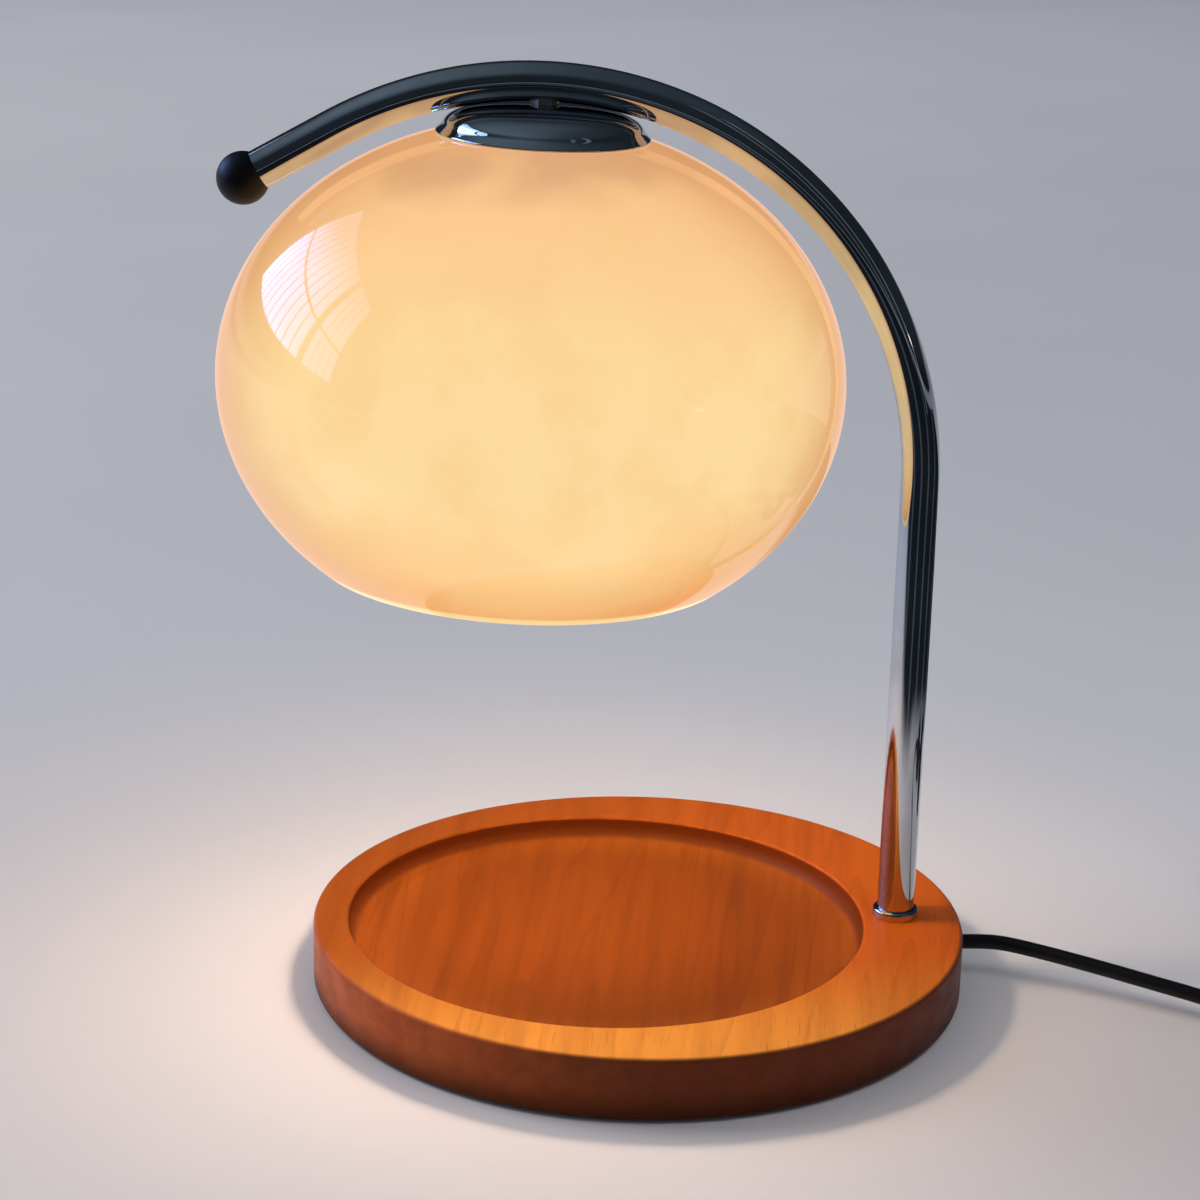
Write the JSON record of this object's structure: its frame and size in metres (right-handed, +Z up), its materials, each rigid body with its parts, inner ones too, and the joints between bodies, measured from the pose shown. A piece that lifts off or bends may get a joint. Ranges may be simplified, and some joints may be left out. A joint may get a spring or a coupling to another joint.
{
  "type": "candle warmer lamp",
  "caption": "Candle warmer lamp: flattened amber glass globe hung from a bent chrome arm over a recessed round wooden base, with an in-line dimmer on its mains lead.",
  "frame": {"origin": "middle of the base's underside, where it rests on the table", "axes": "+Z up; +X from the base's centre towards the post; the arm bends over in the XZ plane"},
  "size_m": [0.4304, 0.2905, 0.2951],
  "materials": {
    "stained_wood": "orange-brown stain under satin varnish",
    "polished_chrome": "polished chrome plate",
    "zinc_steel": "zinc-plated steel",
    "amber_glass": "cased amber opal glass, glossy, lit from inside",
    "clear_glass": "clear glass",
    "reflector_mirror": "aluminised glass",
    "white_ceramic": "unglazed white ceramic",
    "brass": "plain brass",
    "silicone": "pale silicone rubber",
    "black_rubber": "matt black rubber",
    "matt_black": "matt black plastic",
    "black_plastic": "satin black moulded plastic",
    "cord_jacket": "smooth black round jacket",
    "circuit_board": "green board"
  },
  "bodies": {
    "lamp": {"base_disc": "stained_wood", "base_pad": "black_rubber", "lead_bushing": "black_rubber", "lead_tail": "cord_jacket", "post_insert": "zinc_steel", "post_washer": "zinc_steel", "post_nut": "zinc_steel", "post_collar": "polished_chrome", "arm_tube": "polished_chrome", "ball_cap": "matt_black", "shade_cap": "polished_chrome", "glass_shade": "amber_glass", "cap_gasket": "silicone", "glass_gasket": "silicone", "clamp_disc": "zinc_steel", "clamp_nut": "zinc_steel", "bridge_nut": "zinc_steel", "hanger_stem": "zinc_steel", "holder_bridge": "zinc_steel", "holder_body": "white_ceramic", "holder_screw_1": "zinc_steel", "holder_screw_2": "zinc_steel", "bulb_pin_1": "brass", "bulb_pin_2": "brass", "bulb_base": "white_ceramic", "bulb_reflector": "reflector_mirror", "bulb_lens": "clear_glass", "bulb_capsule": "clear_glass", "inner_cores": "silicone", "cord_lead": "cord_jacket", "cord_supply": "cord_jacket", "cord_tail": "cord_jacket", "cord_coil": "cord_jacket", "dimmer_lower": "black_plastic", "dimmer_upper": "black_plastic", "dimmer_board": "circuit_board", "dimmer_pot": "zinc_steel", "dimmer_screw_1": "zinc_steel", "dimmer_screw_2": "zinc_steel", "dimmer_boot_in": "black_rubber", "dimmer_boot_out": "black_rubber", "plug_body": "black_plastic", "plug_blade_1": "brass", "plug_blade_2": "brass", "plug_boot": "black_rubber"},
    "dial": {"dimmer_dial": "black_plastic", "dial_shaft": "zinc_steel"}
  },
  "joints": [
    {"name": "dial_turn", "type": "hinge", "parent": "lamp", "child": "dial", "pos_m": [0.282, -0.0177, 0.02], "axis": [0, 0, 1], "range_deg": [0, 280]}
  ]
}
